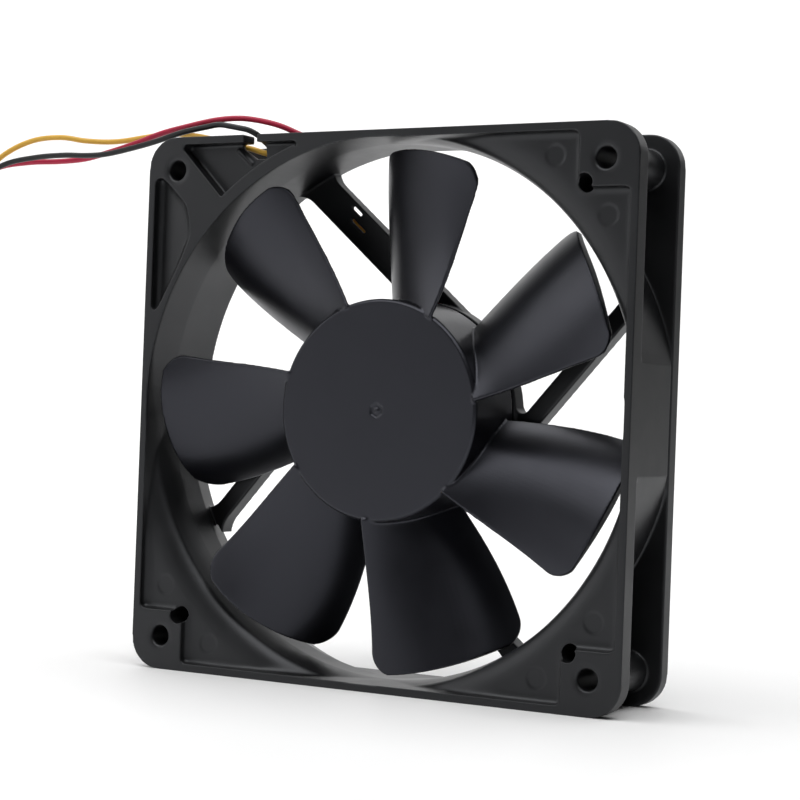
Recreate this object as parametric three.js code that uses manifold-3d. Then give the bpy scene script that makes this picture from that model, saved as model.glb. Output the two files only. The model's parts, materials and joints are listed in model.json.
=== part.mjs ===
// A 120 mm axial cooling fan for a computer case, standing upright on its bottom edge.
// Millimetres, +Z up. The fan turns about the Y axis: its hub cap faces -Y (intake) and its
// struts face +Y (exhaust). Most pieces are drawn about the fan's own axis and then lifted.

import * as THREE from 'three';
import { mergeVertices } from 'three/addons/utils/BufferGeometryUtils.js';
import Module from 'manifold-3d';

const wasm = await Module();
wasm.setup();

// ---- driving dimensions ----
const SIZE = 120;
const DEPTH = 25;
const FRONT = -DEPTH / 2;
const BACK = DEPTH / 2;
const AXIS_HEIGHT = SIZE / 2;

const CORNER_RADIUS = 7;
const FRONT_FLANGE = 4.5;
const REAR_FLANGE = 3.5;
const RIM = 1.7;
const RIM_INSIDE = SIZE / 2 - RIM;
const HOLE_SPACING = 105;
const HOLE_RADIUS = 2.15;
const BOSS_RADIUS = 4.2;
const BARREL_RADIUS = 61.1;
const WIRE_CORNER_LIP = 58.5;
const BELL_RADIUS = 59.1;
const BELL_DEPTH = 5.5;
const BELL_OUTSIDE = 66.1;
const OUTLET_FLARE = 60.85;
const THROAT_RADIUS = 58.25;
const OUTLET_RADIUS = 58.85;
const THROAT_Y = -2.5;

const LAND_INSIDE = 46.65;
const POCKET_DEPTH = 2;
const SLOPE_START = -47.5;
const SLOPE_TILT = 0.2275;
const WIRE_POCKET_DEPTH = 3.2;
const WIRE_POCKET_INSIDE = 61.4;
const SMALL_HOLE_RADIUS = 1.85;
const SMALL_HOLE_AT = 47.8;
const SMALL_HOLE_END = -3;
const SMALL_BOSS_RADIUS = 2.9;
const SMALL_BOSS_END = -1.5;

const BASE_RADIUS = 24.7;
const BASE_FRONT = 7.7;
const BASE_FLOOR = 10.9;
const BASE_INSIDE = 23.2;
const LABEL_RADIUS = 19.5;
const LABEL_SEAT = 12.15;
const STRUT_FRONT = 8.2;
const STRUT_ANGLE = 49;
const STRUT_NEAR = 19.9;
const STRUT_FAR = 24;
const WIRE_STRUT_NEAR = 16.3;
const WIRE_STRUT_FAR = 23.8;
const CHANNEL_NEAR = 17.05;
const CHANNEL_FAR = 22.9;
const CHANNEL_FLOOR = 10;
const CHANNEL_START = 12;
const CHANNEL_END = 63.2;

const BLADES = 7;
const TIP_RADIUS = 56.7;
const HUB_FRONT = -9.6;
const HUB_BACK = 6.8;
const HUB_FRONT_RADIUS = 24;
const HUB_BACK_RADIUS = 24.5;
const HUB_INSIDE_RADIUS = 22.9;
const HUB_CAP = 1.5;
const BLADE_ROOT_RADIUS = 23.4;

const SHAFT_RADIUS = 1.5;
const BEARING_BORE = 1.56;
const BEARING_RADIUS = 3.9;
const BEARING_WIDTH = 3.6;
const PITCH_RADIUS = 2.75;
const BALL_RADIUS = 0.79;
const BALLS = 6;
const FRONT_BEARING_Y = -1.4;
const REAR_BEARING_Y = 6.6;
const TUBE_BORE = 4.05;
const TUBE_RADIUS = 5;
const TUBE_SOCKET_RADIUS = 6.6;

const POLES = 4;
const CORE_FRONT = -2.6;
const CORE_BACK = 3.4;
const POLE_RADIUS = 19.2;
const PCB_FRONT = 7.9;
const PCB_BACK = 8.9;

const WIRE_RADIUS = 0.65;
const WIRE_SIDES = 8;
const CONTACT_GAP = 0.3;
const CONNECTOR_PITCH = 2.54;
const CONNECTOR_LENGTH = 12;
const CONNECTOR_HEIGHT = 5.8;
const CONNECTOR_PLACE = [-136, 9, CONNECTOR_HEIGHT / 2 + 0.05];

const FINE = 44;
const ROUND = 26;
const SMALL = 16;
const TINY = 8;
const SKIN = 0.5;

// ---- materials ----
function finish(color, roughness, metalness) {
  return new THREE.MeshStandardMaterial({ color, roughness, metalness });
}

const LOOKS = {
  frame: finish(0x47484b, 0.55, 0),
  blades: finish(0x3f4045, 0.42, 0),
  steel: finish(0xa8abad, 0.3, 1),
  magnet: finish(0x2b2724, 0.8, 0),
  brass: finish(0xb08d4c, 0.35, 1),
  lamination: finish(0x7c7f82, 0.45, 1),
  insulator: finish(0xe9e6dc, 0.5, 0),
  copper: finish(0xa8592a, 0.35, 1),
  board: finish(0x2f6b3c, 0.5, 0),
  chip: finish(0x1c1c1e, 0.5, 0),
  ceramic: finish(0xb59a6e, 0.5, 0),
  tin: finish(0xc9cbcc, 0.3, 1),
  red: finish(0xa5304a, 0.45, 0),
  black: finish(0x2a2c2c, 0.45, 0),
  yellow: finish(0xd0aa3c, 0.45, 0),
  nylon: finish(0x1d1d1f, 0.5, 0),
  label: finish(0xb9bcbe, 0.4, 0),
};

// ---- closed solids ----
function solid(geometry) {
  const bare = geometry.clone();
  bare.deleteAttribute('normal');
  bare.deleteAttribute('uv');
  const merged = mergeVertices(bare, 1e-4);
  const index = merged.index.array;
  const triangles = [];
  for (let i = 0; i < index.length; i += 3) {
    const [a, b, c] = [index[i], index[i + 1], index[i + 2]];
    if (a !== b && b !== c && c !== a) triangles.push(a, b, c);
  }
  return new wasm.Manifold(new wasm.Mesh({
    numProp: 3,
    vertProperties: new Float32Array(merged.attributes.position.array),
    triVerts: new Uint32Array(triangles),
  }));
}

function geometryOf(body) {
  const mesh = body.getMesh();
  const geometry = new THREE.BufferGeometry();
  geometry.setAttribute('position', new THREE.BufferAttribute(mesh.vertProperties, 3));
  geometry.setIndex(new THREE.BufferAttribute(mesh.triVerts, 1));
  geometry.computeVertexNormals();
  return geometry;
}

function joined(bodies) {
  return bodies.reduce((sum, body) => sum.add(body));
}

// A profile of [radius, y] pairs turned about the fan axis. It may start and end on the axis.
function turned(profile, segments) {
  let area = 0;
  profile.forEach(([r, y], i) => {
    const [nextR, nextY] = profile[(i + 1) % profile.length];
    area += r * nextY - nextR * y;
  });
  const points = (area < 0 ? [...profile].reverse() : profile).map(([r, y]) => new THREE.Vector2(r, y));
  const onAxis = points[0].x === 0 && points[points.length - 1].x === 0;
  if (!onAxis) points.push(points[0].clone());
  return new THREE.LatheGeometry(points, segments);
}

function ring(inner, outer, y0, y1, segments) {
  return turned([[inner, y0], [outer, y0], [outer, y1], [inner, y1]], segments);
}

function disc(radius, y0, y1, segments) {
  return turned([[0, y0], [radius, y0], [radius, y1], [0, y1]], segments);
}

// A flat outline in (x, z) given thickness along Y.
function plate(shape, y0, y1, curveSegments = TINY) {
  const geometry = new THREE.ExtrudeGeometry(shape, { depth: y1 - y0, bevelEnabled: false, curveSegments });
  return geometry.rotateX(Math.PI / 2).translate(0, y1, 0);
}

function outline(points) {
  return new THREE.Shape(points.map(([x, z]) => new THREE.Vector2(x, z)));
}

function box(x0, x1, y0, y1, z0, z1) {
  const geometry = new THREE.BoxGeometry(x1 - x0, y1 - y0, z1 - z0);
  return geometry.translate((x0 + x1) / 2, (y0 + y1) / 2, (z0 + z1) / 2);
}

function roundedSquare(half, radius) {
  const shape = new THREE.Shape();
  const inner = half - radius;
  shape.moveTo(half, -inner);
  shape.lineTo(half, inner);
  shape.absarc(inner, inner, radius, 0, Math.PI / 2);
  shape.absarc(-inner, inner, radius, Math.PI / 2, Math.PI);
  shape.absarc(-inner, -inner, radius, Math.PI, 1.5 * Math.PI);
  shape.absarc(inner, -inner, radius, 1.5 * Math.PI, 2 * Math.PI);
  return shape;
}

// A bar beside the fan axis: `along` runs outwards at an angle from +X towards +Z, and `off`
// is the sideways distance from the axis, to the right of that direction.
function bar(angle, along0, along1, off0, off1, y0, y1) {
  return box(along0, along1, y0, y1, -off1, -off0).rotateY(-THREE.MathUtils.degToRad(angle));
}

// ---- fan frame ----
const CORNERS = [[1, 1], [1, -1], [-1, -1], [-1, 1]];
const WIRE_STRUT_ANGLE = STRUT_ANGLE + 90;

function barrelShell() {
  const tube = solid(ring(THROAT_RADIUS - 4, BARREL_RADIUS, FRONT + 1, BACK - 1, FINE));
  const half = SIZE / 2;
  return tube.intersect(solid(box(-half, half, FRONT, BACK, -half, half)));
}

function boreSpace() {
  const half = RIM_INSIDE + 0.1;
  const profile = [
    [0, FRONT - SKIN],
    [WIRE_CORNER_LIP, FRONT - SKIN],
    [THROAT_RADIUS, THROAT_Y],
    [OUTLET_RADIUS, BACK + SKIN],
    [0, BACK + SKIN],
  ];
  const cornerFlare = solid(turned([
    [0, 5], [OUTLET_RADIUS - 0.4, 5], [OUTLET_FLARE, BACK + SKIN], [0, BACK + SKIN],
  ], FINE));
  const wireCorner = solid(box(-SIZE, 12, 0, SIZE, -14, SIZE));
  return solid(turned(profile, FINE))
    .add(cornerFlare.subtract(wireCorner))
    .intersect(solid(box(-half, half, -SIZE, SIZE, -half, half)));
}

function motorBase() {
  const cup = solid(turned([
    [0, BASE_FLOOR], [BASE_INSIDE, BASE_FLOOR], [BASE_INSIDE, BASE_FRONT], [BASE_RADIUS, BASE_FRONT],
    [BASE_RADIUS, BACK], [LABEL_RADIUS + CONTACT_GAP, BACK], [LABEL_RADIUS + CONTACT_GAP, LABEL_SEAT],
    [0, LABEL_SEAT],
  ], FINE));
  const tubeSocket = solid(ring(TUBE_RADIUS + CONTACT_GAP, TUBE_SOCKET_RADIUS, 4.6, BASE_FLOOR + SKIN, ROUND));
  return cup.add(tubeSocket);
}

function struts() {
  const reach = THROAT_RADIUS;
  const bars = [0, 180, 270].map((turn) => solid(
    bar(STRUT_ANGLE + turn, 8, reach, STRUT_NEAR, STRUT_FAR, STRUT_FRONT, BACK),
  ));
  bars.push(solid(bar(WIRE_STRUT_ANGLE, 14, reach, WIRE_STRUT_NEAR, WIRE_STRUT_FAR, 9, BACK)));
  const limit = solid(disc(THROAT_RADIUS + 1.6, 0, BACK, FINE));
  const motorRoom = solid(disc(BASE_INSIDE, 0, BASE_FLOOR, FINE));
  const seat = solid(disc(LABEL_RADIUS + CONTACT_GAP, LABEL_SEAT, BACK + SKIN, FINE));
  return joined(bars).intersect(limit).subtract(motorRoom).subtract(seat);
}

// The wires' groove, open at the back, with two slots in its front wall, and the hole
// through the rear flange where it ends.
function wireChannel() {
  const groove = solid(bar(
    WIRE_STRUT_ANGLE, CHANNEL_START, CHANNEL_END, CHANNEL_NEAR, CHANNEL_FAR, CHANNEL_FLOOR, BACK + SKIN,
  ));
  const inlet = solid(bar(WIRE_STRUT_ANGLE, 8, 20, CHANNEL_NEAR, CHANNEL_FAR, 8, BACK))
    .intersect(solid(ring(21.5, BASE_RADIUS, 0, BACK, FINE)));
  const outlet = solid(bar(WIRE_STRUT_ANGLE, 56.5, CHANNEL_END, CHANNEL_NEAR, CHANNEL_FAR, 6, BACK))
    .subtract(solid(disc(BARREL_RADIUS, 0, CHANNEL_FLOOR, FINE)));
  const upperSlot = solid(bar(WIRE_STRUT_ANGLE, 41.2, 44.3, 22, 22.8, 8, BACK));
  const lowerSlot = solid(bar(WIRE_STRUT_ANGLE, 37.9, 42.6, 19.8, 20.5, 8, BACK));
  return joined([groove, inlet, outlet, upperSlot, lowerSlot]);
}

// Beside three corner lands the front is sunk, and rounds over into the bore like a bell mouth.
// Left of the land in the wire corner it slopes down to the rim instead.
function cornerPockets() {
  const level = FRONT + POCKET_DEPTH;
  const bell = [];
  for (let i = 0; i <= 6; i += 1) {
    const turn = (Math.PI / 2) * (i / 6);
    bell.push([
      BELL_OUTSIDE - (BELL_OUTSIDE - BELL_RADIUS) * Math.sin(turn),
      FRONT + BELL_DEPTH - (BELL_DEPTH - POCKET_DEPTH) * Math.cos(turn),
    ]);
  }
  const sunk = solid(turned([
    [0, FRONT - SKIN], [SIZE, FRONT - SKIN], [SIZE, level], ...bell,
    [58.7, -5], [58.44, -3], [THROAT_RADIUS - 0.05, -1], [0, -1],
  ], FINE));
  const regions = CORNERS.slice(0, 3).map(([sx, sz]) => {
    const across = [-sx, sx * RIM_INSIDE].sort((a, b) => a - b);
    const tall = [-sz, sz * RIM_INSIDE].sort((a, b) => a - b);
    const landAcross = [sx * LAND_INSIDE, sx * SIZE].sort((a, b) => a - b);
    const landTall = [sz * LAND_INSIDE, sz * SIZE].sort((a, b) => a - b);
    return solid(box(across[0], across[1], -SIZE, 0, tall[0], tall[1]))
      .subtract(solid(box(landAcross[0], landAcross[1], -SIZE, SIZE, landTall[0], landTall[1])));
  });
  const leftOfLand = solid(plate(outline([
    [-RIM_INSIDE, 20.8], [-56.9, 20.8], [-53.7, 26.5], [-45, 40.4], [-56.2, 50.9], [-RIM_INSIDE, 50.9],
  ]), FRONT - 1, 0));
  const slope = solid(new THREE.BoxGeometry(SIZE, 8, SIZE)
    .translate(0, -4, 0)
    .rotateZ(-SLOPE_TILT)
    .translate(SLOPE_START, FRONT, 0));
  return sunk.intersect(joined(regions)).add(leftOfLand.intersect(slope));
}

// The wire corner has a flat-floored pocket with a hole for the leads and a notch in the rim.
function wirePocket() {
  const shape = new THREE.Shape();
  shape.moveTo(-40.6, 46.6);
  shape.lineTo(-51, RIM_INSIDE - 1.2);
  shape.quadraticCurveTo(-51.4, RIM_INSIDE, -50, RIM_INSIDE);
  shape.lineTo(-22, RIM_INSIDE);
  shape.quadraticCurveTo(-20.4, RIM_INSIDE, -20.8, 57.6);
  shape.absarc(0, 0, WIRE_POCKET_INSIDE, Math.PI - 1.22, Math.PI - 0.85);
  const pocket = solid(plate(shape, FRONT - 1, FRONT + WIRE_POCKET_DEPTH));
  const hole = outline([
    [-37, RIM_INSIDE], [-36.7, 57.2], [-33.2, 54.9], [-30.6, 54.9], [-30.9, RIM_INSIDE],
  ]);
  const notch = box(-34.6, -31.3, FRONT - 1, FRONT + FRONT_FLANGE + 1, 57, SIZE);
  return joined([pocket, solid(plate(hole, FRONT - 1, 0)), solid(notch)]);
}

function frameHoles() {
  const cuts = [];
  const at = HOLE_SPACING / 2;
  for (const [sx, sz] of CORNERS) {
    cuts.push(solid(disc(HOLE_RADIUS, -SIZE, SIZE, SMALL).translate(sx * at, 0, sz * at)));
    const mouth = turned([
      [0, FRONT - SKIN], [HOLE_RADIUS + 1, FRONT - SKIN], [HOLE_RADIUS, FRONT + 0.5], [0, FRONT + 0.5],
    ], SMALL);
    cuts.push(solid(mouth.translate(sx * at, 0, sz * at)));
  }
  for (const [sx, sz] of CORNERS.slice(0, 3)) {
    const small = disc(SMALL_HOLE_RADIUS, FRONT - 1, SMALL_HOLE_END, TINY);
    cuts.push(solid(small.translate(sx * SMALL_HOLE_AT, 0, sz * SMALL_HOLE_AT)));
  }
  return joined(cuts);
}

// A narrow seam round the flush middle of each side, just in front of the rear flange.
function sideSeam() {
  const half = SIZE / 2 - 0.6;
  const y1 = BACK - REAR_FLANGE;
  const outside = solid(box(-SIZE, SIZE, y1 - 0.7, y1, -SIZE, SIZE));
  return outside.subtract(solid(box(-half, half, y1 - 2, y1 + 2, -half, half)))
    .intersect(solid(ring(THROAT_RADIUS, BARREL_RADIUS + 1, y1 - 2, y1 + 2, FINE)));
}

function fanFrame() {
  const square = roundedSquare(SIZE / 2, CORNER_RADIUS);
  const frontFlange = solid(plate(square, FRONT, FRONT + FRONT_FLANGE, 6));
  const rearFlange = solid(plate(square, BACK - REAR_FLANGE, BACK, 6));
  const at = HOLE_SPACING / 2;
  const bosses = CORNERS.map(([sx, sz]) => solid(
    disc(BOSS_RADIUS, FRONT + 1, BACK - 1, SMALL).translate(sx * at, 0, sz * at),
  ));
  const smallBosses = CORNERS.slice(0, 3).map(([sx, sz]) => solid(
    disc(SMALL_BOSS_RADIUS, FRONT + 3, SMALL_BOSS_END, SMALL)
      .translate(sx * SMALL_HOLE_AT, 0, sz * SMALL_HOLE_AT),
  ));
  const walls = joined([frontFlange, rearFlange, barrelShell(), ...bosses, ...smallBosses]);
  return walls
    .subtract(boreSpace())
    .add(motorBase())
    .add(struts())
    .subtract(wireChannel())
    .subtract(cornerPockets())
    .subtract(wirePocket())
    .subtract(frameHoles())
    .subtract(sideSeam());
}

// ---- impeller ----
// Blade edges at a share of the span: angle clockwise from the top (degrees) and y.
function bladeEdges(share) {
  return {
    rearAngle: -10.6 + 3.4 * share ** 2,
    rearY: 3.66 + 5.55 * share - 4.6 * share ** 2,
    frontAngle: 31.3 - 13 * share + 6.1 * share ** 2,
    frontY: -10.25 + 4.72 * share - 4.1 * share ** 2,
  };
}

// How far the front-facing side stands out from the chord, at a share of the chord's length
// from the rear edge.
function bladeBulge(share, u) {
  const peak = 0.4 + 0.06 * share;
  const away = u < peak ? (peak - u) / peak : (u - peak) / (1 - peak);
  return (1.9 + 3.8 * share) * (1 - away ** (1.7 + 0.65 * share));
}

function bladeSection(radius, points) {
  const share = (radius - HUB_FRONT_RADIUS) / (TIP_RADIUS - HUB_FRONT_RADIUS);
  const edges = bladeEdges(share);
  const thick = 3;
  const edgeThick = 0.8;
  const cornerRadius = 5;
  const past = Math.max(0, radius - (TIP_RADIUS - cornerRadius));
  const trim = cornerRadius - Math.sqrt(cornerRadius ** 2 - past ** 2);
  const toArc = THREE.MathUtils.degToRad(1) * radius;
  const rear = new THREE.Vector2(edges.rearAngle * toArc, edges.rearY);
  const front = new THREE.Vector2(edges.frontAngle * toArc, edges.frontY);
  const chord = front.clone().sub(rear);
  const length = chord.length();
  const dir = chord.normalize();
  const out = new THREE.Vector2(dir.y, -dir.x);
  const section = { suction: [], pressure: [] };
  for (let i = 0; i <= points; i += 1) {
    const even = i / points;
    const u = (trim + even * (length - 2 * trim)) / length;
    const height = bladeBulge(share, u);
    const t = edgeThick + (thick - edgeThick) * 4 * u * (1 - u);
    const on = rear.clone().addScaledVector(dir, u * length);
    section.suction.push(on.clone().addScaledVector(out, height));
    section.pressure.push(on.clone().addScaledVector(out, height - t));
  }
  const wrap = (p) => {
    const angle = p.x / radius;
    return new THREE.Vector3(radius * Math.sin(angle), p.y, radius * Math.cos(angle));
  };
  return [...section.suction.map(wrap), ...section.pressure.reverse().map(wrap)];
}

// Skins a run of rings that all have the same number of points, and caps both ends.
function loft(rings) {
  const count = rings[0].length;
  const positions = rings.flat().flatMap((p) => [p.x, p.y, p.z]);
  const index = [];
  for (let i = 0; i + 1 < rings.length; i += 1) {
    for (let j = 0; j < count; j += 1) {
      const next = (j + 1) % count;
      const [a, b] = [i * count + j, i * count + next];
      index.push(a, b, b + count, a, b + count, a + count);
    }
  }
  const last = (rings.length - 1) * count;
  for (let j = 0; j + 1 < count / 2; j += 1) {
    const k = count - 1 - j;
    index.push(j, k, j + 1, j + 1, k, k - 1);
    index.push(last + j, last + j + 1, last + k, last + j + 1, last + k - 1, last + k);
  }
  const geometry = new THREE.BufferGeometry();
  geometry.setAttribute('position', new THREE.Float32BufferAttribute(positions, 3));
  geometry.setIndex(index);
  return geometry;
}

function blade() {
  const radii = [BLADE_ROOT_RADIUS, 36, 47, 53.5, TIP_RADIUS - 0.25];
  return loft(radii.map((radius) => bladeSection(radius, 7)));
}

function impeller() {
  const hub = solid(turned([
    [0, HUB_FRONT], [HUB_FRONT_RADIUS - 0.5, HUB_FRONT], [HUB_FRONT_RADIUS, HUB_FRONT + 0.5],
    [HUB_BACK_RADIUS, HUB_BACK], [HUB_INSIDE_RADIUS, HUB_BACK],
    [HUB_INSIDE_RADIUS, HUB_FRONT + HUB_CAP], [0, HUB_FRONT + HUB_CAP],
  ], FINE));
  const blades = [];
  for (let i = 0; i < BLADES; i += 1) {
    blades.push(solid(blade().rotateY((i * 2 * Math.PI) / BLADES)));
  }
  return joined([hub, ...blades]);
}

// ---- rotor metalwork ----
const YOKE_RADIUS = 22.6;
const YOKE_WALL = 0.9;
const YOKE_FRONT = -7.8;
const YOKE_BACK = 6.3;
const YOKE_HOLE = 3.2;

function rotorYoke() {
  return turned([
    [YOKE_HOLE, YOKE_FRONT], [YOKE_RADIUS, YOKE_FRONT], [YOKE_RADIUS, YOKE_BACK],
    [YOKE_RADIUS - YOKE_WALL, YOKE_BACK], [YOKE_RADIUS - YOKE_WALL, YOKE_FRONT + YOKE_WALL],
    [YOKE_HOLE, YOKE_FRONT + YOKE_WALL],
  ], ROUND);
}

function magnetRing() {
  return ring(19.65, YOKE_RADIUS - YOKE_WALL - 0.15, -5.5, 5.5, ROUND);
}

function shaftBushing() {
  return turned([
    [BEARING_BORE, -7.7], [YOKE_HOLE - 0.2, -7.7], [YOKE_HOLE - 0.2, -6.7], [4.6, -6.7],
    [4.6, -6], [BEARING_BORE, -6],
  ], SMALL);
}

const CLIP_Y = 9.1;
const CLIP_THICK = 0.4;
const GROOVE_RADIUS = 1.15;

function shaft() {
  return turned([
    [0, -7.6], [SHAFT_RADIUS - 0.2, -7.6], [SHAFT_RADIUS, -7.4], [SHAFT_RADIUS, CLIP_Y - 0.1],
    [GROOVE_RADIUS, CLIP_Y - 0.1], [GROOVE_RADIUS, CLIP_Y + CLIP_THICK + 0.1],
    [SHAFT_RADIUS, CLIP_Y + CLIP_THICK + 0.1], [SHAFT_RADIUS, 10], [SHAFT_RADIUS - 0.2, 10.2], [0, 10.2],
  ], SMALL);
}

function thrustWasher() {
  return ring(BEARING_BORE, 2.5, 8.55, 8.85, SMALL);
}

function retainingClip() {
  const shape = new THREE.Shape();
  const gap = 0.5;
  shape.absarc(0, 0, 2.5, gap, 2 * Math.PI - gap);
  shape.absarc(0, 0, GROOVE_RADIUS + 0.08, 2 * Math.PI - gap, gap, true);
  return plate(shape, CLIP_Y, CLIP_Y + CLIP_THICK, TINY);
}

// A conical coil spring that pushes the front inner race back from the hub.
function preloadSpring() {
  const turns = 2.5;
  const wire = 0.17;
  const points = [];
  const steps = 22;
  for (let i = 0; i <= steps; i += 1) {
    const part = i / steps;
    const angle = part * turns * 2 * Math.PI;
    const radius = 2.9 - 0.9 * part;
    points.push(new THREE.Vector3(radius * Math.cos(angle), -5.7 + 2.2 * part, radius * Math.sin(angle)));
  }
  return cordTube(points, wire, 5, steps);
}

// ---- ball bearings ----
// Half of a ball groove: [distance from the ball circle, y], from its bottom to its edge.
const GROOVE = [[0.87, 0.2], [0.7, 0.5], [0.45, 0.75]];

function race(wall, rim, side) {
  const half = BEARING_WIDTH / 2;
  const groove = GROOVE.map(([away, y]) => [PITCH_RADIUS + side * away, y]);
  const mirrored = groove.map(([r, y]) => [r, -y]).reverse();
  return turned([
    [rim, -half], [wall, -half], [wall, half], [rim, half], ...groove.reverse(), ...mirrored.reverse(),
  ], SMALL);
}

function outerRace() {
  return race(BEARING_RADIUS, PITCH_RADIUS + GROOVE[2][0], 1);
}

function innerRace() {
  return race(BEARING_BORE, PITCH_RADIUS - GROOVE[2][0], -1);
}

function ballCage() {
  const crown = solid(ring(2.4, 3.08, 0.95, 1.45, SMALL));
  const fingers = [];
  for (let i = 0; i < BALLS; i += 1) {
    const finger = box(2.5, 2.98, -0.4, 1.1, -0.25, 0.25);
    fingers.push(solid(finger.rotateY(((i + 0.5) * 2 * Math.PI) / BALLS)));
  }
  return joined([crown, ...fingers]);
}

function ball() {
  return new THREE.IcosahedronGeometry(BALL_RADIUS, 1);
}

function bearingTube() {
  return turned([
    [TUBE_BORE, -3.4], [TUBE_RADIUS, -3.4], [TUBE_RADIUS, 10.4], [TUBE_BORE, 10.4],
    [TUBE_BORE, 4.65], [3.4, 4.65], [3.4, 0.55], [TUBE_BORE, 0.55],
  ], SMALL);
}

// ---- stator ----
function poleOutline(shoeRadius, armHalf, boreRadius) {
  const shoeHalf = 0.61;
  const shoeThick = 1.9;
  const inner = shoeRadius - shoeThick;
  const yokeRadius = boreRadius + 2.6;
  const shape = new THREE.Shape();
  const armIn = Math.asin(armHalf / yokeRadius);
  const armOut = Math.asin(armHalf / inner);
  for (let i = 0; i < POLES; i += 1) {
    const mid = (i * 2 * Math.PI) / POLES;
    const start = [Math.cos(mid - armIn) * yokeRadius, Math.sin(mid - armIn) * yokeRadius];
    if (i === 0) shape.moveTo(...start);
    else shape.lineTo(...start);
    shape.lineTo(Math.cos(mid - armOut) * inner, Math.sin(mid - armOut) * inner);
    shape.lineTo(Math.cos(mid - shoeHalf) * inner, Math.sin(mid - shoeHalf) * inner);
    shape.absarc(0, 0, shoeRadius, mid - shoeHalf, mid + shoeHalf);
    shape.lineTo(Math.cos(mid + shoeHalf) * inner, Math.sin(mid + shoeHalf) * inner);
    shape.lineTo(Math.cos(mid + armOut) * inner, Math.sin(mid + armOut) * inner);
    shape.lineTo(Math.cos(mid + armIn) * yokeRadius, Math.sin(mid + armIn) * yokeRadius);
  }
  const hole = new THREE.Path();
  hole.absarc(0, 0, boreRadius, 0, 2 * Math.PI);
  shape.holes.push(hole);
  return shape;
}

function statorCore() {
  return plate(poleOutline(POLE_RADIUS, 2.4, TUBE_RADIUS + CONTACT_GAP), CORE_FRONT, CORE_BACK, 6);
}

function insulator(y0, y1, boreRadius, collar0, collar1) {
  const sheet = solid(plate(poleOutline(POLE_RADIUS - 0.3, 2.6, boreRadius), y0, y1, 6));
  const collar = solid(ring(boreRadius, boreRadius + 1.2, collar0, collar1, SMALL));
  return sheet.add(collar);
}

function winding() {
  const halfArm = 2.9;
  const wall = 2.2;
  const y0 = CORE_FRONT - 1.4;
  const y1 = CORE_BACK + 1.4;
  const coil = solid(box(9.4, 15.4, y0 - 1.7, y1 + 1.6, -halfArm - wall, halfArm + wall));
  return coil.subtract(solid(box(9, 17, y0, y1, -halfArm, halfArm)));
}

// ---- circuit board and its parts ----
const PIN_ANGLES = [20, 110, 200];
const PIN_CIRCLE = 9.6;

function polar(radius, degrees) {
  const angle = THREE.MathUtils.degToRad(degrees);
  return [radius * Math.cos(angle), radius * Math.sin(angle)];
}

function circuitBoard() {
  const sheet = solid(ring(TUBE_SOCKET_RADIUS + 0.4, 21.8, PCB_FRONT, PCB_BACK, ROUND));
  const drills = PIN_ANGLES.map((angle) => {
    const [x, z] = polar(PIN_CIRCLE, angle);
    return solid(disc(0.65, PCB_FRONT - 1, PCB_BACK + 1, TINY).translate(x, 0, z));
  });
  return sheet.subtract(joined(drills));
}

function terminalPin() {
  return disc(0.32, 5.1, 9.7, 8);
}

// ---- wires ----
function cordTube(points, radius, sides, steps) {
  const section = [];
  for (let i = 0; i < sides; i += 1) {
    section.push(new THREE.Vector2(...polar(radius, (i * 360) / sides)));
  }
  const path = new THREE.CatmullRomCurve3(points, false, 'centripetal');
  return new THREE.ExtrudeGeometry(new THREE.Shape(section), { steps, bevelEnabled: false, extrudePath: path });
}

function route(points) {
  return points.map((p) => new THREE.Vector3(...p));
}

// The held stretch of each wire: from the board out through the base wall, along the
// strut's groove, and forward through the hole in the rear flange. `off` sets it beside
// its neighbours.
const LEAVING_BASE = [[21.4, 9.85], [22.5, 10.05], [23.5, 10.5], [24.6, 10.95], [26.5, 11.1]];
const ALONG_STRUT = [[32, 11.1], [42, 11.1], [53, 11.1], [58.2, 11], [60, 10.3], [61, 9], [61.3, 7.2]];

function heldWire(off) {
  const turn = THREE.MathUtils.degToRad(WIRE_STRUT_ANGLE);
  const start = LEAVING_BASE.map(([radius, y]) => [Math.sqrt(radius ** 2 - off ** 2), y]);
  const points = [...start, ...ALONG_STRUT].map(([along, y]) => new THREE.Vector3(
    along * Math.cos(turn) + off * Math.sin(turn),
    y,
    along * Math.sin(turn) - off * Math.cos(turn),
  ));
  return cordTube(points, WIRE_RADIUS, WIRE_SIDES, 20);
}

const HELD_WIRES = [
  ['red_wire_in_strut', 20.85, LOOKS.red],
  ['black_wire_in_strut', 17.85, LOOKS.black],
  ['yellow_wire_in_strut', 19.35, LOOKS.yellow],
];

// The free leads, with z = 0 on the surface below. Each comes forward behind the front
// flange, arches over the top edge, falls beyond the frame's left side, lies along the
// surface and turns back into the connector.
const RED_LEAD = [
  [-32.58, 6.9, 115.96], [-32.3, 4.6, 116.1], [-30.2, 2.4, 117.2], [-27.2, 0.9, 119], [-26, -0.5, 120.6],
  [-28, -1.6, 121.7], [-31.6, -2.6, 123.2], [-36.8, -3, 124.5], [-42.1, -3.2, 125.2],
  [-48.6, -3.4, 125], [-56.2, -3.7, 123.8], [-63.2, -4, 122.4], [-70.2, -4.3, 120.3],
  [-77.3, -4.5, 118.5], [-84.6, -4.7, 117], [-92.1, -4.6, 116.6], [-102, -4.5, 116.6],
  [-112, -4.4, 115.4], [-120.4, -4.3, 110.4], [-126.4, -4.2, 101.6], [-129.2, -4.1, 90],
  [-130.4, -4, 74], [-130.8, -4, 58], [-131, -4.1, 40], [-131.2, -4.2, 22], [-131.8, -4.4, 9],
  [-134.6, -4.6, 2.4], [-139.2, -4.4, 0.7], [-143.6, -1.8, 0.7], [-145.7, 3, 0.7], [-145.8, 11, 0.7],
  [-145.7, 18, 0.7], [-144.4, 22, 0.7], [-140.85, 23.9, 0.9], [-137.4, 22.2, 1.6], [-136.1, 18.6, 2.5],
  [-136, 15, 2.95], [-136, 10.8, 2.95],
];
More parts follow.
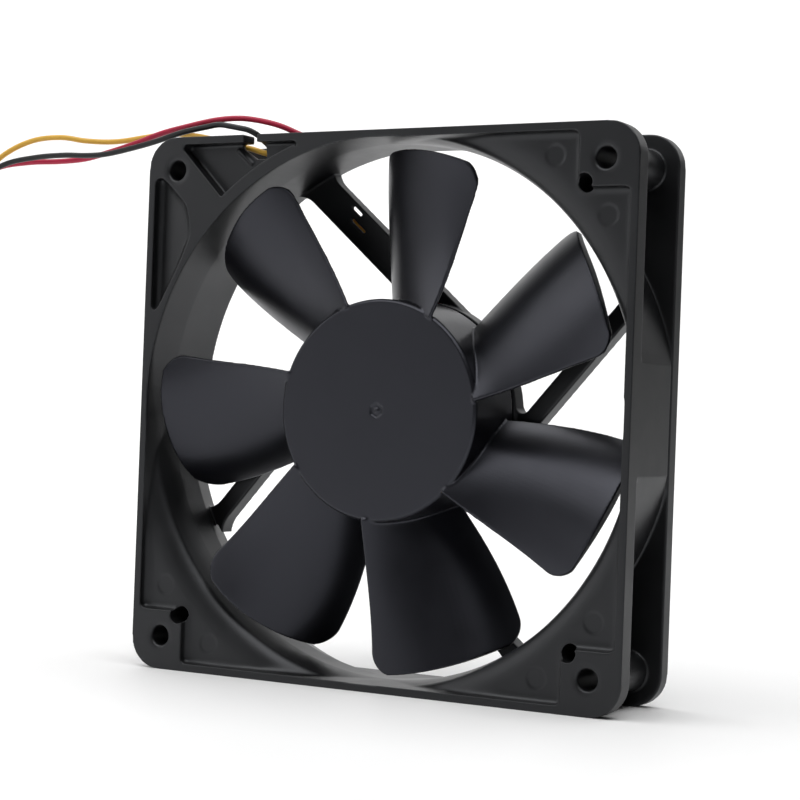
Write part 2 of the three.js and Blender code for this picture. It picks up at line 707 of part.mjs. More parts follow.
const BLACK_LEAD = [
  [-34.55, 6.9, 113.69], [-34.4, 3.5, 113.8], [-33.7, 0.2, 114.6], [-32.9, -2.8, 116.3],
  [-32.5, -5.4, 118.2], [-32.6, -7.9, 119.3], [-33.3, -9.5, 120.4], [-35, -10.4, 121.3],
  [-37.2, -10.4, 121.8], [-40.2, -10, 122.4], [-43.3, -9.6, 122.9], [-47, -9.2, 122.6],
  [-54.4, -8.6, 121.6], [-61.8, -8.2, 119.9], [-68.9, -7.8, 118.6], [-76.9, -7.4, 117.5],
  [-82.4, -7.2, 117.4], [-89, -7, 117.7], [-98, -6.9, 117.4], [-108, -6.9, 115.8], [-117, -7, 110.8],
  [-123.4, -7.1, 102], [-126.8, -7.2, 90], [-128.4, -7.2, 74], [-129, -7.2, 58], [-129.4, -7.2, 40],
  [-129.8, -7.2, 22], [-130.6, -7.3, 9], [-133.6, -7.6, 2.4], [-138.8, -7.6, 0.7], [-144.2, -5, 0.7],
  [-147.2, 0.6, 0.7], [-147.6, 9, 0.7], [-147.4, 18, 0.7], [-145.4, 23.8, 0.7], [-140.5, 26.2, 0.8],
  [-135.6, 23.8, 1.5], [-133.6, 18.8, 2.5], [-133.46, 15, 2.95], [-133.46, 10.8, 2.95],
];
const YELLOW_LEAD = [
  [-33.57, 6.9, 114.82], [-33.3, 4.2, 114.7], [-32.1, 1, 114.8], [-30.8, -2.4, 115.1],
  [-30.7, -5, 115.9], [-32.9, -6.4, 116.6], [-35.7, -6.7, 117.4], [-39, -6.7, 118.2], [-42.7, -6, 119],
  [-47.8, -4.6, 120.3], [-54.7, -2.8, 121.7], [-62.7, -1.5, 122.6], [-70.8, -1, 122],
  [-76.1, -0.9, 121.5], [-81, -0.8, 121.4], [-88, -0.9, 121.9], [-95, -1.1, 122.9],
  [-104, -1.2, 122.3], [-113.4, -1.3, 118.6], [-121, -1.4, 111.6], [-127, -1.5, 101.4],
  [-130.6, -1.5, 88], [-132, -1.5, 72], [-132.4, -1.5, 56], [-132.6, -1.5, 40], [-132.8, -1.5, 22],
  [-133.2, -1.6, 9], [-135.6, -1.6, 2.4], [-139.2, -1, 0.7], [-142.4, 1.2, 0.7], [-143.9, 5.4, 0.7],
  [-144, 12, 0.7], [-143.9, 17.4, 0.7], [-143, 20.2, 0.7], [-141.2, 21.2, 0.9], [-139.3, 20.2, 1.5],
  [-138.6, 17.6, 2.4], [-138.54, 15, 2.95], [-138.54, 10.8, 2.95],
];
const LEAD_STEPS = 72;

// ---- connector at the end of the leads ----
function connectorHousing() {
  const width = 3 * CONNECTOR_PITCH + 0.3;
  const half = CONNECTOR_LENGTH / 2;
  const top = CONNECTOR_HEIGHT / 2;
  let housing = solid(box(-width / 2, width / 2, -half, half, -top, top - 1));
  for (const side of [-1, 1]) {
    housing = housing.add(solid(box(side * 2 - 0.45, side * 2 + 0.45, -half, half - 2, top - 2, top)));
  }
  for (const slot of [-1, 0, 1]) {
    const x = slot * CONNECTOR_PITCH;
    housing = housing.subtract(solid(box(x - 0.98, x + 0.98, -SIZE, SIZE, -0.98, 0.98)));
  }
  return housing;
}

function crimpTerminal() {
  const body = solid(box(-0.68, 0.68, -4.5, 1.5, -0.68, 0.68));
  return body.subtract(solid(box(-0.4, 0.4, -6, -0.5, -0.4, 0.4)));
}

// ---- assembly ----
const assembly = new THREE.Group();
const fan = new THREE.Group();
fan.position.z = AXIS_HEIGHT;
assembly.add(fan);

function place(parent, name, geometry, material, position = [0, 0, 0], turn = 0) {
  const mesh = new THREE.Mesh(geometry, material.clone());
  mesh.name = name;
  mesh.position.set(...position);
  mesh.rotation.y = turn;
  parent.add(mesh);
}

place(fan, 'fan_frame', geometryOf(fanFrame()), LOOKS.frame);
place(fan, 'impeller', geometryOf(impeller()), LOOKS.blades);
place(fan, 'rotor_yoke', rotorYoke(), LOOKS.steel);
place(fan, 'magnet_ring', magnetRing(), LOOKS.magnet);
place(fan, 'shaft_bushing', shaftBushing(), LOOKS.brass);
place(fan, 'shaft', shaft(), LOOKS.steel);
place(fan, 'preload_spring', preloadSpring(), LOOKS.steel);
place(fan, 'thrust_washer', thrustWasher(), LOOKS.steel);
place(fan, 'retaining_clip', retainingClip(), LOOKS.steel);

for (const [side, y] of [['front', FRONT_BEARING_Y], ['rear', REAR_BEARING_Y]]) {
  place(fan, `${side}_bearing_outer_race`, outerRace(), LOOKS.steel, [0, y, 0]);
  place(fan, `${side}_bearing_inner_race`, innerRace(), LOOKS.steel, [0, y, 0]);
  place(fan, `${side}_bearing_cage`, geometryOf(ballCage()), LOOKS.brass, [0, y, 0]);
  for (let i = 0; i < BALLS; i += 1) {
    const angle = (i * 2 * Math.PI) / BALLS;
    const at = [PITCH_RADIUS * Math.cos(angle), y, -PITCH_RADIUS * Math.sin(angle)];
    place(fan, `${side}_bearing_ball_${i + 1}`, ball(), LOOKS.steel, at);
  }
}

place(fan, 'bearing_tube', bearingTube(), LOOKS.brass);
place(fan, 'stator_core', statorCore(), LOOKS.lamination, [0, 0, 0], Math.PI / 4);
const frontInsulator = insulator(CORE_FRONT - 1.1, CORE_FRONT - 0.2, TUBE_RADIUS + 0.45, -5.2, -3);
place(fan, 'front_insulator', geometryOf(frontInsulator), LOOKS.insulator, [0, 0, 0], Math.PI / 4);
const rearInsulator = insulator(CORE_BACK + 0.2, CORE_BACK + 1.1, TUBE_SOCKET_RADIUS + 0.45, 4, 5.6);
place(fan, 'rear_insulator', geometryOf(rearInsulator), LOOKS.insulator, [0, 0, 0], Math.PI / 4);
for (let i = 0; i < POLES; i += 1) {
  const turn = Math.PI / 4 + (i * 2 * Math.PI) / POLES;
  place(fan, `winding_${i + 1}`, geometryOf(winding()), LOOKS.copper, [0, 0, 0], turn);
}

place(fan, 'circuit_board', geometryOf(circuitBoard()), LOOKS.board);
place(fan, 'hall_sensor', box(-2, 2, 6.1, 7.6, 16, 18.6), LOOKS.chip);
place(fan, 'driver_chip', box(-17.4, -13.4, 9.2, 10.5, -2.6, 2.6), LOOKS.chip);
place(fan, 'capacitor', box(13.4, 14.8, 9.2, 10.4, 2, 4.6), LOOKS.ceramic);
place(fan, 'protection_diode', box(11.4, 13, 9.2, 10.3, -8, -4.6), LOOKS.chip);
place(fan, 'sense_resistor', box(-3, 0, 9.2, 9.9, -15.4, -13.8), LOOKS.chip);
PIN_ANGLES.forEach((angle, i) => {
  const [x, z] = polar(PIN_CIRCLE, angle);
  place(fan, `winding_pin_${i + 1}`, terminalPin(), LOOKS.tin, [x, 0, z]);
});
place(fan, 'rear_label', disc(LABEL_RADIUS, LABEL_SEAT + 0.1, LABEL_SEAT + 0.3, FINE), LOOKS.label);

for (const [name, off, material] of HELD_WIRES) {
  place(fan, name, heldWire(off), material);
}

place(assembly, 'red_lead', cordTube(route(RED_LEAD), WIRE_RADIUS, WIRE_SIDES, LEAD_STEPS), LOOKS.red);
place(assembly, 'black_lead', cordTube(route(BLACK_LEAD), WIRE_RADIUS, WIRE_SIDES, LEAD_STEPS), LOOKS.black);
place(assembly, 'yellow_lead', cordTube(route(YELLOW_LEAD), WIRE_RADIUS, WIRE_SIDES, LEAD_STEPS), LOOKS.yellow);

const connector = new THREE.Group();
connector.position.set(...CONNECTOR_PLACE);
assembly.add(connector);
place(connector, 'connector_housing', geometryOf(connectorHousing()), LOOKS.nylon);
['yellow', 'red', 'black'].forEach((name, i) => {
  const x = (i - 1) * CONNECTOR_PITCH;
  place(connector, `${name}_crimp_terminal`, geometryOf(crimpTerminal()), LOOKS.tin, [x, 0, 0]);
});

export default assembly;
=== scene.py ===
"""A 120 mm case fan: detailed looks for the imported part. Sizes are in millimetres about the
fan's own axis (x to the right, y towards the exhaust, z up) until a mesh is made, and then in
metres in the part's frame."""

import json
import math

import bmesh
import bpy
from mathutils import Matrix, Vector


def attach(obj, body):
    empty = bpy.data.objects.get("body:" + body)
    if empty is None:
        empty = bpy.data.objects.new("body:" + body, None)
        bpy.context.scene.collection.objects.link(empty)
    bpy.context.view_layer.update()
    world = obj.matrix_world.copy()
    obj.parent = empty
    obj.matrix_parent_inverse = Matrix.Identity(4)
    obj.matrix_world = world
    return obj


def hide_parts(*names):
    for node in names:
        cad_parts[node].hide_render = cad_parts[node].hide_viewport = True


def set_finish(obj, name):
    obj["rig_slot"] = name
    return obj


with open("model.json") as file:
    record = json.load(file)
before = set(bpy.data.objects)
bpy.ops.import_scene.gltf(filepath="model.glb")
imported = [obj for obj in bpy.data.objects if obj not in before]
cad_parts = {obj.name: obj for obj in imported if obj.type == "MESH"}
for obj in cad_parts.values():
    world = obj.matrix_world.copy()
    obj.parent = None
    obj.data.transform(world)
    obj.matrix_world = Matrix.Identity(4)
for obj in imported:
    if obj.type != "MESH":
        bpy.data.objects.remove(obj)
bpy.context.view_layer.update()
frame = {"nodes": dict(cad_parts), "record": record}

MM = 0.001
AXIS_HEIGHT = 60
SIZE = 120
HALF = SIZE / 2
FRONT = -12.5
BACK = 12.5


def point(x, y, z):
    """A place given about the fan axis in millimetres, in the part's frame in metres."""
    return Vector((x * MM, y * MM, (z + AXIS_HEIGHT) * MM))


# ---- camera ----
CAMERA_PLACE = (0.2167, -0.3877, 0.0598)
CAMERA_VIEW = (-0.4870, 0.8730, 0.0060)
CAMERA_ROLL = 2.13
CAMERA_LENS = 91.5


def make_camera():
    data = bpy.data.cameras.new("camera")
    data.lens = CAMERA_LENS
    data.sensor_width = 36
    data.clip_start = 0.01
    camera = bpy.data.objects.new("camera", data)
    bpy.context.scene.collection.objects.link(camera)
    view = Vector(CAMERA_VIEW).normalized()
    right = view.cross(Vector((0, 0, 1))).normalized()
    up = right.cross(view)
    turned_up = Matrix.Rotation(math.radians(-CAMERA_ROLL), 3, view) @ up
    turned_right = view.cross(turned_up)
    axes = Matrix((turned_right, turned_up, -view)).transposed()
    camera.matrix_world = Matrix.Translation(CAMERA_PLACE) @ axes.to_4x4()
    bpy.context.scene.camera = camera


make_camera()


def along_strut(angle, points):
    """Points given as distance along a strut and offset from the fan axis, as x and z."""
    turn = math.radians(angle)
    return [
        (a * math.cos(turn) + o * math.sin(turn), a * math.sin(turn) - o * math.cos(turn))
        for a, o in points
    ]


# ---- wires and leads ----
WIRE_DIAMETER = 0.0013
WIRE_STEPS = 6
LEADS = {
    "red": [
        (-32.58, 6.9, 115.96), (-32.3, 4.6, 116.1), (-30.2, 2.4, 117.2), (-27.2, 0.9, 119),
        (-26, -0.5, 120.6), (-28, -1.6, 121.7), (-31.6, -2.6, 123.2), (-36.8, -3, 124.5),
        (-42.1, -3.2, 125.2), (-48.6, -3.4, 125), (-56.2, -3.7, 123.8), (-63.2, -4, 122.4),
        (-70.2, -4.3, 120.3), (-77.3, -4.5, 118.5), (-84.6, -4.7, 117), (-92.1, -4.6, 116.6),
        (-102, -4.5, 116.6), (-112, -4.4, 115.4), (-120.4, -4.3, 110.4), (-126.4, -4.2, 101.6),
        (-129.2, -4.1, 90), (-130.4, -4, 74), (-130.8, -4, 58), (-131, -4.1, 40),
        (-131.2, -4.2, 22), (-131.8, -4.4, 9), (-134.6, -4.6, 2.4), (-139.2, -4.4, 0.7),
        (-143.6, -1.8, 0.7), (-145.7, 3, 0.7), (-145.8, 11, 0.7), (-145.7, 18, 0.7),
        (-144.4, 22, 0.7), (-140.85, 23.9, 0.9), (-137.4, 22.2, 1.6), (-136.1, 18.6, 2.5),
        (-136, 15, 2.95), (-136, 10.8, 2.95),
    ],
    "black": [
        (-34.55, 6.9, 113.69), (-34.4, 3.5, 113.8), (-33.7, 0.2, 114.6), (-32.9, -2.8, 116.3),
        (-32.5, -5.4, 118.2), (-32.6, -7.9, 119.3), (-33.3, -9.5, 120.4), (-35, -10.4, 121.3),
        (-37.2, -10.4, 121.8), (-40.2, -10, 122.4), (-43.3, -9.6, 122.9), (-47, -9.2, 122.6),
        (-54.4, -8.6, 121.6), (-61.8, -8.2, 119.9), (-68.9, -7.8, 118.6), (-76.9, -7.4, 117.5),
        (-82.4, -7.2, 117.4), (-89, -7, 117.7), (-98, -6.9, 117.4), (-108, -6.9, 115.8),
        (-117, -7, 110.8), (-123.4, -7.1, 102), (-126.8, -7.2, 90), (-128.4, -7.2, 74),
        (-129, -7.2, 58), (-129.4, -7.2, 40), (-129.8, -7.2, 22), (-130.6, -7.3, 9),
        (-133.6, -7.6, 2.4), (-138.8, -7.6, 0.7), (-144.2, -5, 0.7), (-147.2, 0.6, 0.7),
        (-147.6, 9, 0.7), (-147.4, 18, 0.7), (-145.4, 23.8, 0.7), (-140.5, 26.2, 0.8),
        (-135.6, 23.8, 1.5), (-133.6, 18.8, 2.5), (-133.46, 15, 2.95), (-133.46, 10.8, 2.95),
    ],
    "yellow": [
        (-33.57, 6.9, 114.82), (-33.3, 4.2, 114.7), (-32.1, 1, 114.8), (-30.8, -2.4, 115.1),
        (-30.7, -5, 115.9), (-32.9, -6.4, 116.6), (-35.7, -6.7, 117.4), (-39, -6.7, 118.2),
        (-42.7, -6, 119), (-47.8, -4.6, 120.3), (-54.7, -2.8, 121.7), (-62.7, -1.5, 122.6),
        (-70.8, -1, 122), (-76.1, -0.9, 121.5), (-81, -0.8, 121.4), (-88, -0.9, 121.9),
        (-95, -1.1, 122.9), (-104, -1.2, 122.3), (-113.4, -1.3, 118.6), (-121, -1.4, 111.6),
        (-127, -1.5, 101.4), (-130.6, -1.5, 88), (-132, -1.5, 72), (-132.4, -1.5, 56),
        (-132.6, -1.5, 40), (-132.8, -1.5, 22), (-133.2, -1.6, 9), (-135.6, -1.6, 2.4),
        (-139.2, -1, 0.7), (-142.4, 1.2, 0.7), (-143.9, 5.4, 0.7), (-144, 12, 0.7),
        (-143.9, 17.4, 0.7), (-143, 20.2, 0.7), (-141.2, 21.2, 0.9), (-139.3, 20.2, 1.5),
        (-138.6, 17.6, 2.4), (-138.54, 15, 2.95), (-138.54, 10.8, 2.95),
    ],
}
LEAVING_BASE = [(21.4, 9.85), (22.5, 10.05), (23.5, 10.5), (24.6, 10.95), (26.5, 11.1)]
ALONG_STRUT = [(32, 11.1), (42, 11.1), (53, 11.1), (58.2, 11), (60, 10.3), (61, 9), (61.3, 7.2)]
HELD_OFF = {"red": 20.85, "black": 17.85, "yellow": 19.35}
WIRE_STRUT_ANGLE = 139


def through(points, steps):
    """A smooth run (centripetal Catmull-Rom) through points, with some steps in each stretch."""
    ends = [points[0] * 2 - points[1], *points, points[-1] * 2 - points[-2]]
    run = []
    for p0, p1, p2, p3 in zip(ends, ends[1:], ends[2:], ends[3:]):
        t1 = (p1 - p0).length ** 0.5
        t2 = t1 + (p2 - p1).length ** 0.5
        t3 = t2 + (p3 - p2).length ** 0.5
        for i in range(steps):
            t = t1 + (t2 - t1) * i / steps
            a1 = p0.lerp(p1, t / t1)
            a2 = p1.lerp(p2, (t - t1) / (t2 - t1))
            a3 = p2.lerp(p3, (t - t2) / (t3 - t2))
            b1 = a1.lerp(a2, t / t2)
            b2 = a2.lerp(a3, (t - t1) / (t3 - t1))
            run.append(b1.lerp(b2, (t - t1) / (t2 - t1)))
    run.append(points[-1])
    return run


def wire(name, points):
    run = through(points, WIRE_STEPS)
    data = bpy.data.curves.new(name, "CURVE")
    data.dimensions = "3D"
    spline = data.splines.new("POLY")
    spline.points.add(len(run) - 1)
    for place, p in zip(spline.points, run):
        place.co = (*p, 1)
        place.radius = WIRE_DIAMETER / 2
    data.bevel_depth = 1
    data.bevel_resolution = 4
    data.use_fill_caps = True
    piece = bpy.data.objects.new(name, data)
    bpy.context.scene.collection.objects.link(piece)
    return piece


def make_leads():
    made = {}
    for colour, route in LEADS.items():
        points = [Vector(p) * MM for p in route]
        lead = wire(f"{colour}_wire_free", points)
        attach(lead, "housing")
        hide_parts(f"{colour}_lead")
        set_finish(lead, f"{colour}_insulation")
        made[colour] = lead
    return made


def make_held_wires():
    made = {}
    for colour, off in HELD_OFF.items():
        start = [(math.sqrt(r * r - off * off), y) for r, y in LEAVING_BASE]
        run = start + ALONG_STRUT
        across = along_strut(WIRE_STRUT_ANGLE, [(along, off) for along, _ in run])
        points = [point(x, y, z) for (x, z), (_, y) in zip(across, run)]
        piece = wire(f"{colour}_wire_held", points)
        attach(piece, "housing")
        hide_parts(f"{colour}_wire_in_strut")
        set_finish(piece, f"{colour}_insulation")
        made[colour] = piece
    return made


leads = make_leads()
held_wires = make_held_wires()


# ---- closed solids ----
def link(name, vertices, faces):
    """A closed mesh with its faces turned outwards. Vertices are about the fan axis, in mm."""
    mesh = bpy.data.meshes.new(name)
    mesh.from_pydata([point(*v) for v in vertices], [], faces)
    shape = bmesh.new()
    shape.from_mesh(mesh)
    bmesh.ops.recalc_face_normals(shape, faces=shape.faces)
    shape.to_mesh(mesh)
    shape.free()
    made = bpy.data.objects.new(name, mesh)
    bpy.context.scene.collection.objects.link(made)
    return made


def turned(profile, segments=192):
    """A profile of (radius, y) turned about the fan axis. It may start and end on the axis."""
    vertices, rows = [], []
    for r, y in profile:
        if r == 0:
            rows.append([len(vertices)] * segments)
            vertices.append((0, y, 0))
            continue
        rows.append(list(range(len(vertices), len(vertices) + segments)))
        for i in range(segments):
            turn = 2 * math.pi * i / segments
            vertices.append((r * math.cos(turn), y, r * math.sin(turn)))
    closing = [] if profile[0][0] == 0 else [(rows[-1], rows[0])]
    faces = []
    for a, b in list(zip(rows, rows[1:])) + closing:
        for i in range(segments):
            j = (i + 1) % segments
            face = list(dict.fromkeys((a[i], a[j], b[j], b[i])))
            if len(face) > 2:
                faces.append(face)
    return link("turned", vertices, faces)


def disc(radius, y0, y1, segments=192):
    return turned([(0, y0), (radius, y0), (radius, y1), (0, y1)], segments)


def ring(inner, outer, y0, y1, segments=192):
    return turned([(inner, y0), (outer, y0), (outer, y1), (inner, y1)], segments)


def plate(outline, y0, y1):
    """An outline of (x, z) points made solid from y0 to y1."""
    count = len(outline)
    vertices = [(x, y, z) for y in (y0, y1) for x, z in outline]
    sides = [(i, (i + 1) % count, (i + 1) % count + count, i + count) for i in range(count)]
    return link("plate", vertices, [list(range(count)), list(range(count, 2 * count)), *sides])


def box(x0, x1, y0, y1, z0, z1):
    return plate([(x0, z0), (x1, z0), (x1, z1), (x0, z1)], y0, y1)


def bar(angle, along0, along1, off0, off1, y0, y1):
    """A bar beside the axis, running outwards at an angle, off to the right of its direction."""
    corners = [(along0, off0), (along1, off0), (along1, off1), (along0, off1)]
    return plate(along_strut(angle, corners), y0, y1)


def arc(cx, cz, radius, start, end, steps):
    angles = [math.radians(start + (end - start) * i / steps) for i in range(steps + 1)]
    return [(cx + radius * math.cos(a), cz + radius * math.sin(a)) for a in angles]


def rounded(x0, x1, z0, z1, radius, steps=12):
    return [
        *arc(x1 - radius, z0 + radius, radius, -90, 0, steps),
        *arc(x1 - radius, z1 - radius, radius, 0, 90, steps),
        *arc(x0 + radius, z1 - radius, radius, 90, 180, steps),
        *arc(x0 + radius, z0 + radius, radius, 180, 270, steps),
    ]


def settle(body):
    """Replaces an object's mesh by what its modifiers make of it."""
    graph = bpy.context.evaluated_depsgraph_get()
    made = bpy.data.meshes.new_from_object(body.evaluated_get(graph))
    body.modifiers.clear()
    body.data = made
    return body


def combine(body, others, operation):
    for other in others:
        step = body.modifiers.new("combine", "BOOLEAN")
        step.object = other
        step.operation = operation
        step.solver = "MANIFOLD"
    settle(body)
    for other in others:
        bpy.data.objects.remove(other)
    return body


def add(body, *others):
    return combine(body, others, "UNION")


def cut(body, *others):
    return combine(body, others, "DIFFERENCE")


def keep(body, *others):
    return combine(body, others, "INTERSECT")


def round_over(body, voxel, passes, fade=None):
    """Rounds every edge and fills every inside corner; more passes round them more. With a
    fade, nothing nearer the axis than its first radius is rounded."""
    remesh = body.modifiers.new("remesh", "REMESH")
    remesh.mode = "VOXEL"
    remesh.voxel_size = voxel * MM
    settle(body)
    smooth = body.modifiers.new("smooth", "SMOOTH")
    if fade:
        outer = body.vertex_groups.new(name="outer")
        for vertex in body.data.vertices:
            radius = math.hypot(vertex.co.x, vertex.co.z - AXIS_HEIGHT * MM) / MM
            share = min(1, max(0, (radius - fade[0]) / (fade[1] - fade[0])))
            outer.add([vertex.index], share, "REPLACE")
        smooth.vertex_group = outer.name
    smooth.factor = 0.5
    smooth.iterations = passes
    return settle(body)


def soften(body, voxel, passes, share):
    """Rounds a moulding's edges a little, and thins out the mesh that leaves."""
    round_over(body, voxel * (1), passes)
    thin = body.modifiers.new("thin", "DECIMATE")
    thin.ratio = share
    settle(body)
    for face in body.data.polygons:
        face.use_smooth = True
    return body


# ---- the frame ----
CORNERS = [(1, 1), (1, -1), (-1, -1), (-1, 1)]
FLANGE_CORNER = 7
FRONT_FLANGE = 4.5
REAR_FLANGE = 3.5
RIM_INSIDE = 58.3
HOLE_AT = 52.5
HOLE_RADIUS = 2.15
COUNTERSINK = (2.5, 0.12, 0.6)
BOSS_RADIUS = 4.2
BARREL = 61.1
SEAM_WIDTH = 0.7
SEAM_DEPTH = 0.6
WIRE_CORNER_LIP = 58.5
CUT_FROM = FRONT - 4
BELL = 59.1
BELL_OUTSIDE = 66.1
BELL_DEPTH = 5.5
OUTLET_FLARE = 60.85
THROAT = 58.25
OUTLET = 58.85
THROAT_Y = -2.5
LAND = 46.65
POCKET_DEPTH = 2
SLOPE_START = -47.5
SLOPE = 0.2315
WIRE_POCKET_DEPTH = 3.2
WIRE_POCKET_INSIDE = 61.4
EJECTOR_MARKS = [(52.7, 41.1), (40.5, 53.5)]
EJECTOR_RADIUS = 2.3
EJECTOR_DEPTH = 0.18
SMALL_HOLE_RADIUS = 1.85
SMALL_HOLES = [(47.9, 47.6), (47.9, -47.6), (-47.9, -47.6)]
SMALL_HOLE_END = -3
SMALL_BOSS_RADIUS = 2.9
SMALL_BOSS_END = -1.5
STRUT_ANGLE = 49
STRUT_SIDES = (19.9, 24)
STRUT_FRONT = 8.2
STRUT_FLARE = 1.4
WIRE_STRUT_SIDES = (16.3, 23.8)
WIRE_STRUT_FRONT = 9
WIRE_STRUT_FLARE = 1.6
STRUT_ROOT = 4
FLARE_LENGTH = 4
BASE_RADIUS = 24.7
BASE_INSIDE = 23.2
BASE_FILLET = 1.5
BASE_FLOOR = 10.9
BASE_FRONT = 7.7
BASE_EDGE = 0.4
COLLAR_INSIDE = 5.3
COLLAR_OUTSIDE = 6.6
COLLAR_FRONT = 4.6
LABEL_RADIUS = 19.5
LABEL_GAP = 0.3
LABEL_SEAT = 12.15
CHANNEL = (17.05, 22.9)
CHANNEL_FLOOR = 10
CHANNEL_END = 63.2
INLET_FAR = 21.7
STRUT_SLOTS = [(41.2, 44.3, 22, 22.8), (37.9, 42.6, 19.8, 20.5)]


def bore_space():
    """The air space through the frame, with its flared outlet to the right and below."""
    half = RIM_INSIDE + 0.1
    profile = [(0, FRONT - 1), (WIRE_CORNER_LIP, FRONT - 1), (THROAT, THROAT_Y)]
    profile += [(OUTLET, BACK + 1), (0, BACK + 1)]
    flare = turned([
        (0, 5), (OUTLET - 0.4, 5), (OUTLET_FLARE, BACK + 0.3), (OUTLET_FLARE, BACK + 1),
        (0, BACK + 1),
    ])
    cut(flare, box(-SIZE, 12, 0, SIZE, -14, SIZE))
    return keep(add(turned(profile), flare), box(-half, half, -SIZE, SIZE, -half, half))


def moved(body, x, z):
    body.data.transform(Matrix.Translation((x * MM, 0, z * MM)))
    return body


def frame_walls():
    square = rounded(-HALF, HALF, -HALF, HALF, FLANGE_CORNER, 16)
    body = plate(square, FRONT, FRONT + FRONT_FLANGE)
    shell = keep(
        ring(THROAT - 4, BARREL, FRONT + 1, BACK - 1),
        box(-HALF, HALF, FRONT, BACK, -HALF, HALF),
    )
    bosses = [
        moved(disc(BOSS_RADIUS, FRONT + 1, BACK - 1, 64), sx * HOLE_AT, sz * HOLE_AT)
        for sx, sz in CORNERS
    ]
    bosses += [
        moved(disc(SMALL_BOSS_RADIUS, FRONT + 3, SMALL_BOSS_END, 64), x, z) for x, z in SMALL_HOLES
    ]
    add(body, plate(square, BACK - REAR_FLANGE, BACK), shell, *bosses)
    return cut(body, bore_space())


def motor_base():
    """The cup behind the motor, with the collar round the bearing tube and the label's seat."""
    seat = LABEL_RADIUS + LABEL_GAP
    cup = turned([
        (0, BASE_FLOOR), (BASE_INSIDE, BASE_FLOOR), (BASE_INSIDE, BASE_FRONT),
        (BASE_RADIUS, BASE_FRONT), (BASE_RADIUS, BACK - BASE_EDGE), (BASE_RADIUS - BASE_EDGE, BACK),
        (seat, BACK), (seat, LABEL_SEAT), (0, LABEL_SEAT),
    ])
    collar = ring(COLLAR_INSIDE, COLLAR_OUTSIDE, COLLAR_FRONT, BASE_FLOOR + 0.5, 96)
    return add(cup, collar)


def strut_fillet(angle, near, y0):
    """The rounded corner between the near side of a strut and the motor base."""
    off = near - BASE_FILLET
    along = math.sqrt((BASE_RADIUS + BASE_FILLET) ** 2 - off**2)
    to_axis = 180 + math.degrees(math.atan2(off, along))
    outline = arc(along, off, BASE_FILLET, 90, to_axis, 8)
    inwards = 0.965 * BASE_RADIUS / (BASE_RADIUS + BASE_FILLET)
    in_strut = near + 0.5
    # The outline closes inside the base and the strut, which it is joined to.
    outline += [(along * inwards, off * inwards), (along - 3.6, in_strut), (along, in_strut)]
    return plate(along_strut(angle, outline), y0, BACK)


def flared_bar(angle, between, y0, grow):
    """A strut: a bar whose sides flare out over the last few millimetres at the rim."""
    reach = THROAT + 1
    steps = 6
    sides = []
    for off, side in zip(between, (-1, 1)):
        end = math.sqrt(reach**2 - off**2)
        run = [(STRUT_ROOT, off)]
        for i in range(steps + 1):
            part = i / steps
            run.append((end - FLARE_LENGTH * (1 - part), off + side * grow * part**2.2))
        sides.append(run)
    return plate(along_strut(angle, sides[0] + sides[1][::-1]), y0, BACK)


def struts():
    angles = [STRUT_ANGLE + turn for turn in (0, 180, 270)]
    bars = [flared_bar(angle, STRUT_SIDES, STRUT_FRONT, STRUT_FLARE) for angle in angles]
    bars.append(flared_bar(WIRE_STRUT_ANGLE, WIRE_STRUT_SIDES, WIRE_STRUT_FRONT, WIRE_STRUT_FLARE))
    bars += [strut_fillet(angle, STRUT_SIDES[0], STRUT_FRONT) for angle in angles]
    bars.append(strut_fillet(WIRE_STRUT_ANGLE, WIRE_STRUT_SIDES[0], WIRE_STRUT_FRONT))
    body = add(bars[0], *bars[1:])
    keep(body, disc(THROAT + 1.6, 0, BACK))
    return cut(
        body,
        disc(BASE_INSIDE, 0, BASE_FLOOR),
        disc(LABEL_RADIUS + LABEL_GAP, LABEL_SEAT, BACK + 1),
    )


def wire_channel():
    """The groove for the wires in the back of the wide strut, its ends, and its two slots."""
    near, far = CHANNEL
    groove = bar(WIRE_STRUT_ANGLE, 12, CHANNEL_END, near, far, CHANNEL_FLOOR, BACK + 1)
    inlet = keep(
        bar(WIRE_STRUT_ANGLE, 8, 20, near, INLET_FAR, 8, BACK + 1),
        ring(21.5, BASE_RADIUS, 0, BACK + 2),
    )
    outlet = cut(
        bar(WIRE_STRUT_ANGLE, 56.5, CHANNEL_END, near, far, 6, BACK + 1),
        disc(BARREL, 0, CHANNEL_FLOOR),
    )
    slots = [
        bar(WIRE_STRUT_ANGLE, *place, WIRE_STRUT_FRONT - 1, BACK) for place in STRUT_SLOTS
    ]
    return [groove, inlet, outlet, *slots]


def bell_pockets():
    """Beside three corner lands the front is sunk, and rounds over into the bore."""
    level = FRONT + POCKET_DEPTH
    steps = 16
    bell = []
    for i in range(steps + 1):
        turn = math.pi / 2 * i / steps
        bell.append((
            BELL_OUTSIDE - (BELL_OUTSIDE - BELL) * math.sin(turn),
            FRONT + BELL_DEPTH - (BELL_DEPTH - POCKET_DEPTH) * math.cos(turn),
        ))
    regions = []
    for sx, sz in CORNERS[:3]:
        in_x, in_z = sorted((-sx, sx * RIM_INSIDE)), sorted((-sz, sz * RIM_INSIDE))
        land_x, land_z = sorted((sx * LAND, sx * SIZE)), sorted((sz * LAND, sz * SIZE))
        region = box(*in_x, CUT_FROM, 0, *in_z)
        regions.append(cut(region, box(*land_x, CUT_FROM - 1, 1, *land_z)))
    # Behind the rounding the wall still draws in a little, over the next 6 mm.
    wall = [
        (THROAT + 0.05 + 0.8 * (1 - i / 12) ** 2, FRONT + BELL_DEPTH + i / 2)
        for i in range(1, 13)
    ]
    sunk = turned([
        (0, CUT_FROM), (SIZE, CUT_FROM), (SIZE, level), *bell, *wall, (THROAT - 1, -0.5),
        (0, -0.5),
    ])
    pockets = keep(add(regions[0], *regions[1:]), sunk)
    return round_over(pockets, voxel=0.45, passes=42, fade=(59.6, 61.6))


